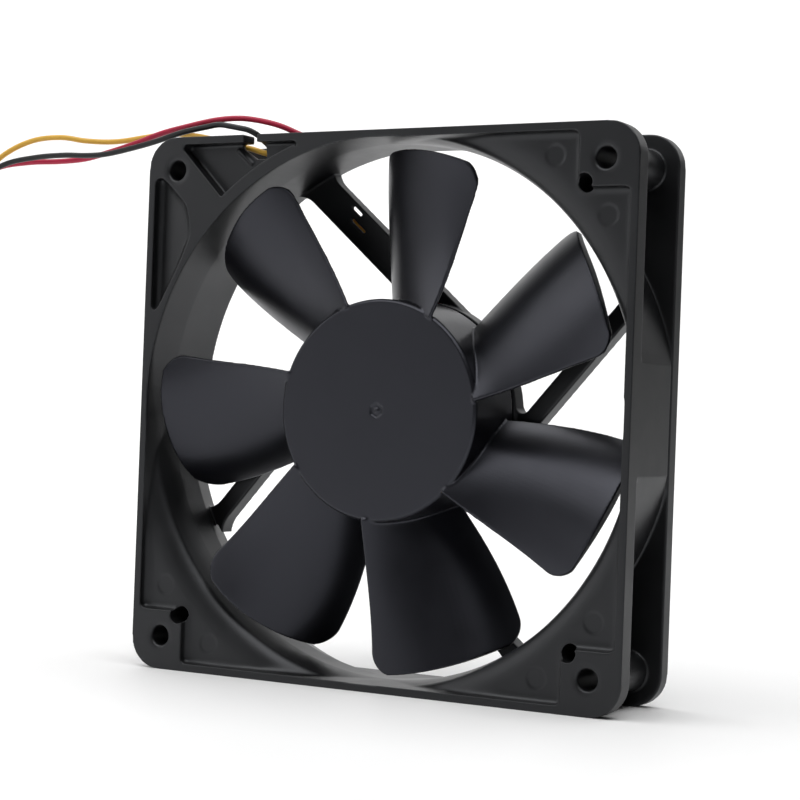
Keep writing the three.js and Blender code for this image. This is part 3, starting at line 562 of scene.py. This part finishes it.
def sloping_pocket():
    """Left of the land in the wire corner the front slopes down to the rim."""
    edge = [(-51.3, 46.5), (-56.2, 50.9), (-RIM_INSIDE, 50.9), (-RIM_INSIDE, 20.8)]
    edge += [(-56.9, 20.8), (-53.7, 26.5), (-47.6, 37.8), (-48.4, 42.3), (-49.3, 44.6)]
    deep = FRONT + (SLOPE_START + SIZE) * SLOPE
    section = [(SLOPE_START, CUT_FROM), (SLOPE_START, FRONT), (-SIZE, deep), (-SIZE, CUT_FROM)]
    slope = link(
        "slope",
        [(x, y, z) for z in (0, SIZE) for x, y in section],
        [(0, 1, 2, 3), (4, 5, 6, 7), (0, 1, 5, 4), (1, 2, 6, 5), (2, 3, 7, 6), (3, 0, 4, 7)],
    )
    return round_over(keep(plate(edge, CUT_FROM, 0), slope), voxel=0.4, passes=40)


def wire_pocket():
    """The flat-floored pocket where the leads come out: its hollow, its hole and its notch."""
    inside = WIRE_POCKET_INSIDE
    edge = [(-40.6, 46.6), (-50.9, 57.1), *arc(-50.1, 57.5, 0.8, 180, 90, 4)]
    edge += [*arc(-22, 57.1, 1.2, 90, -20, 6), *arc(0, 0, inside, 110.5, 131.2, 24)]
    floor = FRONT + WIRE_POCKET_DEPTH
    hollow = round_over(plate(edge, CUT_FROM, floor), voxel=0.25, passes=10)
    hole = plate(
        [(-37, RIM_INSIDE), (-36.7, 57.2), (-33.2, 54.9), (-30.6, 54.9), (-30.9, RIM_INSIDE)],
        FRONT - 1,
        0,
    )
    notch = box(-34.6, -31.3, FRONT - 1, FRONT + FRONT_FLANGE + 1, 57, SIZE)
    return [hollow, hole, notch]


def wire_pocket_rib():
    """The thin raised rib on the pocket's floor beside the hole."""
    deep = FRONT + WIRE_POCKET_DEPTH
    return moved(bar(-41, 0, 5.2, -0.35, 0.35, deep - 0.5, deep + 0.6), -38, 57.1)


def frame_holes():
    """The corner holes, each eased at the front and back, and the blind second holes."""
    cuts = []
    eased, shallow, deep = COUNTERSINK
    for sx, sz in CORNERS:
        profile = [(0, FRONT - 1), (eased + 1, FRONT - 1), (eased + 1, FRONT)]
        profile += [(eased, FRONT + shallow), (HOLE_RADIUS, FRONT + deep)]
        profile += [(HOLE_RADIUS, BACK - 0.4), (HOLE_RADIUS + 1.4, BACK + 1), (0, BACK + 1)]
        cuts.append(moved(turned(profile, 64), sx * HOLE_AT, sz * HOLE_AT))
    for x, z in SMALL_HOLES:
        cuts.append(moved(disc(SMALL_HOLE_RADIUS, FRONT - 1, SMALL_HOLE_END, 64), x, z))
    return cuts


def ejector_marks():
    """Shallow round prints on the sunk floors beside the lands."""
    floor = FRONT + POCKET_DEPTH
    beside_lands = [(sx * x, sz * z) for sx, sz in CORNERS[:3] for x, z in EJECTOR_MARKS]
    return [
        moved(disc(EJECTOR_RADIUS, floor - 0.3, floor + EJECTOR_DEPTH, 48), x, z)
        for x, z in beside_lands
    ]


def side_seam():
    """The shallow groove across the flat of each side, just before the rear flange."""
    y1 = BACK - REAR_FLANGE
    inside = HALF - SEAM_DEPTH
    seam = keep(
        box(-SIZE, SIZE, y1 - SEAM_WIDTH, y1, -SIZE, SIZE),
        ring(THROAT, BARREL + 1, y1 - 2, y1 + 2),
    )
    return cut(seam, box(-inside, inside, y1 - 3, y1 + 3, -inside, inside))


def make_frame():
    body = frame_walls()
    add(body, motor_base(), struts())
    cut(body, bell_pockets(), sloping_pocket(), *wire_pocket())
    add(body, wire_pocket_rib())
    cut(body, *wire_channel(), *frame_holes(), *ejector_marks(), side_seam())
    soften(body, voxel=0.24, passes=4, share=0.35)
    body.name = "frame_moulding"
    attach(body, "housing")
    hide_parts("fan_frame")
    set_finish(body, "frame_plastic")
    return body


# ---- the impeller ----
BLADES = 7
TIP_RADIUS = 56.7
HUB_RADIUS = 24
HUB_FRONT = -9.6
HUB_BACK = 6.8
HUB_BACK_RADIUS = 24.5
HUB_INSIDE = 22.9
HUB_WALL = 1.5
HUB_EDGE = 0.55
BLADE_ROOT = 23.4
BLADE_THICKNESS = 3
BLADE_EDGE = 0.8
TIP_CORNER = 5
TIP_REACH = 4.8
REAR_EDGE_TURN = (-10.6, 0, 3.4)
REAR_EDGE_Y = (3.66, 5.55, -4.6)
FRONT_EDGE_TURN = (31.3, -13, 6.1)
FRONT_EDGE_Y = (-10.25, 4.72, -4.1)
GATE_MARK_RADIUS = 1.75
GATE_MARK_DEPTH = 0.3


def varied(terms, share):
    """A measure of the blade that changes along it: its value at the hub, slope and curve."""
    return terms[0] + terms[1] * share + terms[2] * share**2


def blade_section(radius, count):
    """One closed section of a blade at a radius: the front-facing side, then the back. Its
    edges' places are degrees about the axis, taken as arc length, and y."""
    share = (radius - HUB_RADIUS) / (TIP_RADIUS - HUB_RADIUS)
    to_arc = math.radians(1) * radius
    rear = Vector((varied(REAR_EDGE_TURN, share) * to_arc, varied(REAR_EDGE_Y, share)))
    front = Vector((varied(FRONT_EDGE_TURN, share) * to_arc, varied(FRONT_EDGE_Y, share)))
    past = max(0, radius - (TIP_RADIUS - TIP_CORNER))
    trim = TIP_CORNER - math.sqrt(TIP_CORNER**2 - past**2)
    length = (front - rear).length
    along = (front - rear) / length
    out = Vector((along.y, -along.x))
    peak = 0.4 + 0.06 * share
    fronts, backs = [], []
    for i in range(count + 1):
        even = 0.5 - 0.5 * math.cos(math.pi * i / count)
        u = (trim + even * (length - 2 * trim)) / length
        away = (peak - u) / peak if u < peak else (u - peak) / (1 - peak)
        bulge = (1.9 + 3.8 * share) * (1 - away ** (1.7 + 0.65 * share))
        thick = BLADE_EDGE + (BLADE_THICKNESS - BLADE_EDGE) * 4 * u * (1 - u)
        on_chord = rear + along * (u * length)
        fronts.append(on_chord + out * bulge)
        backs.append(on_chord + out * (bulge - thick))
    return [
        (radius * math.sin(p.x / radius), p.y, radius * math.cos(p.x / radius))
        for p in fronts + backs[::-1]
    ]


def blade(turn):
    """One blade, its sections closer together where its tip's corners are rounded."""
    count = 40
    corner = TIP_RADIUS - TIP_CORNER
    radii = [BLADE_ROOT + (corner - BLADE_ROOT) * i / 20 for i in range(20)]
    radii += [corner + TIP_REACH * math.sin(math.pi / 2 * i / 12) for i in range(13)]
    rings = [blade_section(radius, count) for radius in radii]
    ring_size = len(rings[0])
    vertices = [v for section in rings for v in section]
    faces = []
    for i in range(len(rings) - 1):
        for j in range(ring_size):
            a = i * ring_size + j
            b = i * ring_size + (j + 1) % ring_size
            faces.append((a, b, b + ring_size, a + ring_size))
    last = (len(rings) - 1) * ring_size
    for j in range(count):
        k = ring_size - 1 - j
        faces.append((j, j + 1, k - 1, k))
        faces.append((last + j, last + k, last + k - 1, last + j + 1))
    body = link("blade", vertices, faces)
    axis = Vector((0, 0, AXIS_HEIGHT * MM))
    body.data.transform(
        Matrix.Translation(axis) @ Matrix.Rotation(turn, 4, "Y") @ Matrix.Translation(-axis)
    )
    return body


def gate_mark():
    """The small six-sided sunk mark at the middle of the hub, with a nub left in it."""
    corners = [math.radians(30 + 60 * i) for i in range(6)]
    edge = [(GATE_MARK_RADIUS * math.cos(a), GATE_MARK_RADIUS * math.sin(a)) for a in corners]
    mark = plate(edge, HUB_FRONT - 1, HUB_FRONT + GATE_MARK_DEPTH)
    deep = HUB_FRONT + 1
    nub = turned([(0, HUB_FRONT), (0.45, HUB_FRONT), (0.6, deep), (0, deep)], 24)
    return cut(mark, nub)


def make_impeller():
    floor = HUB_FRONT + HUB_WALL
    hub = turned([
        (0, HUB_FRONT), (HUB_RADIUS - HUB_EDGE, HUB_FRONT), (HUB_RADIUS, HUB_FRONT + HUB_EDGE),
        (HUB_BACK_RADIUS, HUB_BACK), (HUB_INSIDE, HUB_BACK), (HUB_INSIDE, floor), (0, floor),
    ], 256)
    add(hub, *[blade(i * 2 * math.pi / BLADES) for i in range(BLADES)])
    cut(hub, gate_mark())
    soften(hub, voxel=0.24, passes=3, share=0.4)
    hub.name = "impeller_moulding"
    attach(hub, "rotor")
    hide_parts("impeller")
    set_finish(hub, "impeller_plastic")
    return hub


fan_frame = make_frame()
impeller = make_impeller()


# ---- materials ----
def nodes_of(name):
    look = bpy.data.materials.new(name)
    look.use_nodes = True
    tree = look.node_tree
    return look, tree, tree.nodes["Principled BSDF"]


def noise(tree, place, scale, detail=4, roughness=0.5):
    node = tree.nodes.new("ShaderNodeTexNoise")
    node.inputs["Scale"].default_value = scale
    node.inputs["Detail"].default_value = detail
    node.inputs["Roughness"].default_value = roughness
    tree.links.new(place, node.inputs["Vector"])
    return node.outputs["Fac"]


def ramp(tree, value, low, high, at_low, at_high):
    node = tree.nodes.new("ShaderNodeMapRange")
    node.inputs["From Min"].default_value = low
    node.inputs["From Max"].default_value = high
    node.inputs["To Min"].default_value = at_low
    node.inputs["To Max"].default_value = at_high
    tree.links.new(value, node.inputs["Value"])
    return node.outputs["Result"]


def blend(tree, share, first, second):
    node = tree.nodes.new("ShaderNodeMix")
    node.data_type = "RGBA"
    node.inputs["A"].default_value = (*first, 1)
    node.inputs["B"].default_value = (*second, 1)
    tree.links.new(share, node.inputs["Factor"])
    return node.outputs["Result"]


def bump(tree, shader, height, strength, distance):
    node = tree.nodes.new("ShaderNodeBump")
    node.inputs["Strength"].default_value = strength
    node.inputs["Distance"].default_value = distance
    tree.links.new(height, node.inputs["Height"])
    tree.links.new(node.outputs["Normal"], shader.inputs["Normal"])


def moulded(name, dark, light, rough_low, rough_high, grain=0.35, sheen=(1, 1, 1), shine=0.5):
    """Satin moulded plastic: faint mottling, a fine spark-eroded grain and a painted highlight
    along its sharp edges, which are made lighter in colour.
    Sheen is the colour of its reflections and shine is how strong they are."""
    look, tree, shader = nodes_of(name)
    place = tree.nodes.new("ShaderNodeTexCoord").outputs["Object"]
    mottle = noise(tree, place, scale=55, detail=5, roughness=0.6)
    fine = noise(tree, place, scale=2600, detail=3, roughness=0.6)
    edge = tree.nodes.new("ShaderNodeNewGeometry").outputs["Pointiness"]
    # Sharp edges are given a lighter colour: a painted highlight along them, mixed in with the
    # mottling.
    painted_edge_highlight = ramp(tree, edge, 0.52, 0.62, 0, 1)
    mottle_and_edge_highlight = tree.nodes.new("ShaderNodeMath")
    mottle_and_edge_highlight.operation = "MULTIPLY_ADD"
    mottle_and_edge_highlight.inputs[1].default_value = 0.3
    tree.links.new(painted_edge_highlight, mottle_and_edge_highlight.inputs[0])
    tree.links.new(mottle, mottle_and_edge_highlight.inputs[2])
    share = ramp(tree, mottle_and_edge_highlight.outputs[0], 0.3, 1.1, 0, 1)
    tree.links.new(blend(tree, share, dark, light), shader.inputs["Base Color"])
    tree.links.new(ramp(tree, mottle, 0.3, 0.7, rough_low, rough_high), shader.inputs["Roughness"])
    shader.inputs["Specular IOR Level"].default_value = shine
    shader.inputs["Specular Tint"].default_value = (*sheen, 1)
    bump(tree, shader, fine, strength=grain, distance=0.00003)
    return look


def wire_look(name, dark, light):
    """A lead's extruded insulation: fairly glossy, with a faint unevenness."""
    look, tree, shader = nodes_of(name)
    place = tree.nodes.new("ShaderNodeTexCoord").outputs["Object"]
    mottle = noise(tree, place, scale=300, detail=3)
    tree.links.new(blend(tree, mottle, dark, light), shader.inputs["Base Color"])
    tree.links.new(ramp(tree, mottle, 0.3, 0.7, 0.3, 0.42), shader.inputs["Roughness"])
    shader.inputs["Specular IOR Level"].default_value = 0.28
    fine = noise(tree, place, scale=1500, detail=2)
    bump(tree, shader, fine, strength=0.2, distance=0.00002)
    return look


def metal(name, dark, light, rough_low, rough_high):
    """Bare metal with a fine grain in its colour, roughness and surface."""
    look, tree, shader = nodes_of(name)
    place = tree.nodes.new("ShaderNodeTexCoord").outputs["Object"]
    grain = noise(tree, place, scale=900, detail=6, roughness=0.7)
    tree.links.new(blend(tree, grain, dark, light), shader.inputs["Base Color"])
    tree.links.new(ramp(tree, grain, 0.3, 0.7, rough_low, rough_high), shader.inputs["Roughness"])
    shader.inputs["Metallic"].default_value = 1
    bump(tree, shader, grain, strength=0.15, distance=0.00002)
    return look


LOOKS = {
    "frame_plastic": moulded(
        "frame_plastic",
        (0.0028, 0.0029, 0.0032),
        (0.0056, 0.0057, 0.0062),
        0.36,
        0.46,
        sheen=(0.93, 0.95, 1),
    ),
    "impeller_plastic": moulded(
        "impeller_plastic",
        (0.0018, 0.0018, 0.0026),
        (0.0034, 0.0034, 0.005),
        0.3,
        0.38,
        sheen=(0.84, 0.86, 1),
        shine=0.56,
    ),
    "steel": metal("steel", (0.5, 0.5, 0.51), (0.66, 0.66, 0.67), 0.22, 0.34),
    "ferrite": moulded("ferrite", (0.03, 0.027, 0.024), (0.055, 0.05, 0.045), 0.6, 0.8),
    "brass": metal("brass", (0.62, 0.45, 0.2), (0.78, 0.6, 0.3), 0.25, 0.38),
    "lamination": metal("lamination", (0.3, 0.31, 0.32), (0.45, 0.46, 0.48), 0.35, 0.5),
    "insulator": moulded("insulator", (0.66, 0.64, 0.56), (0.8, 0.78, 0.7), 0.4, 0.55),
    "copper": metal("copper", (0.55, 0.22, 0.09), (0.72, 0.33, 0.14), 0.25, 0.4),
    "board": moulded("board", (0.02, 0.1, 0.04), (0.03, 0.15, 0.06), 0.3, 0.45),
    "chip": moulded("chip", (0.012, 0.012, 0.013), (0.025, 0.025, 0.026), 0.4, 0.6),
    "ceramic_chip": moulded("ceramic_chip", (0.35, 0.24, 0.12), (0.5, 0.36, 0.2), 0.3, 0.5),
    "tin": metal("tin", (0.6, 0.6, 0.61), (0.75, 0.75, 0.76), 0.2, 0.35),
    "red_insulation": wire_look("red_insulation", (0.34, 0.009, 0.036), (0.48, 0.018, 0.062)),
    "black_insulation": wire_look("black_insulation", (0.004, 0.0044, 0.005), (0.01, 0.011, 0.012)),
    "yellow_insulation": wire_look("yellow_insulation", (0.6, 0.34, 0.04), (0.75, 0.45, 0.07)),
    "nylon": moulded("nylon", (0.012, 0.012, 0.013), (0.025, 0.025, 0.026), 0.4, 0.55),
    "label": moulded("label", (0.42, 0.43, 0.45), (0.5, 0.51, 0.53), 0.35, 0.45, grain=0.1),
}


def paint():
    """Gives each CAD node the material of its slot in the record, and each piece its own's."""
    slot_of = {row["node"]: row["material_slot"] for row in frame["record"]["subparts"]}
    for name, node in frame["nodes"].items():
        node.data.materials.clear()
        node.data.materials.append(LOOKS[slot_of[name]])
    for piece in [*leads.values(), *held_wires.values(), fan_frame, impeller]:
        piece.data.materials.clear()
        piece.data.materials.append(LOOKS[piece["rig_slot"]])


paint()


# ---- floor and light ----
def make_floor():
    """A pale floor that bends up into a backdrop behind the fan, square to the camera."""
    mesh = bpy.data.meshes.new("floor")
    reach, bend_at, bend, rise = 3, 1.2, 0.6, 2.4
    steps = 16
    turns = [math.pi / 2 * i / steps for i in range(steps + 1)]
    profile = [(-reach, 0)]
    profile += [(bend_at + bend * math.sin(a), bend - bend * math.cos(a)) for a in turns]
    profile.append((bend_at + bend, rise))
    turn = Matrix.Rotation(math.atan2(-CAMERA_VIEW[0], CAMERA_VIEW[1]), 3, "Z")
    vertices = [turn @ Vector((side * reach, y, z)) for side in (-1, 1) for y, z in profile]
    count = len(profile)
    faces = [(i, i + 1, i + 1 + count, i + count) for i in range(count - 1)]
    mesh.from_pydata(vertices, [], faces)
    for face in mesh.polygons:
        face.use_smooth = True
    floor = bpy.data.objects.new("floor", mesh)
    bpy.context.scene.collection.objects.link(floor)
    look, tree, shader = nodes_of("floor")
    place = tree.nodes.new("ShaderNodeTexCoord").outputs["Object"]
    mottle = noise(tree, place, scale=6, detail=3)
    tone = blend(tree, mottle, (0.86, 0.86, 0.86), (0.9, 0.9, 0.9))
    tree.links.new(tone, shader.inputs["Base Color"])
    shader.inputs["Roughness"].default_value = 0.6
    mesh.materials.append(look)


def area_light(name, place, aim, width, height, radiance):
    """A soft box. It is given by radiance, so its size doesn't change how bright it looks."""
    data = bpy.data.lights.new(name, "AREA")
    data.shape = "RECTANGLE"
    data.size = width
    data.size_y = height
    data.energy = radiance * math.pi * width * height
    light = bpy.data.objects.new(name, data)
    bpy.context.scene.collection.objects.link(light)
    light.location = place
    light.rotation_euler = (Vector(aim) - Vector(place)).to_track_quat("-Z", "Y").to_euler()


def make_light():
    """Studio light: a wide one overhead, one on the backdrop, and three dim fills."""
    area_light("overhead", (-0.1, -0.3, 1.3), (-0.1, -0.3, 0), 2.2, 1.8, 2.6)
    area_light("backdrop", (-0.34, 0.61, 1.1), (-0.85, 1.53, 0.5), 1.6, 0.5, 6)
    area_light("left_card", (-0.6, -0.95, 0.2), (0, 0, 0.06), 0.9, 0.8, 0.44)
    area_light("upper_left", (-0.8, -0.43, 0.4), (0, 0, 0.06), 0.6, 0.4, 1.8)
    area_light("bore_fill", (0.34, 0.67, 0.56), (0, 0, 0.06), 0.6, 0.45, 0.8)
    world = bpy.data.worlds.new("studio")
    world.use_nodes = True
    background = world.node_tree.nodes["Background"]
    background.inputs["Color"].default_value = (1, 1, 1, 1)
    background.inputs["Strength"].default_value = 0.04
    bpy.context.scene.world = world


make_floor()
make_light()
bpy.context.scene.view_settings.view_transform = "Standard"
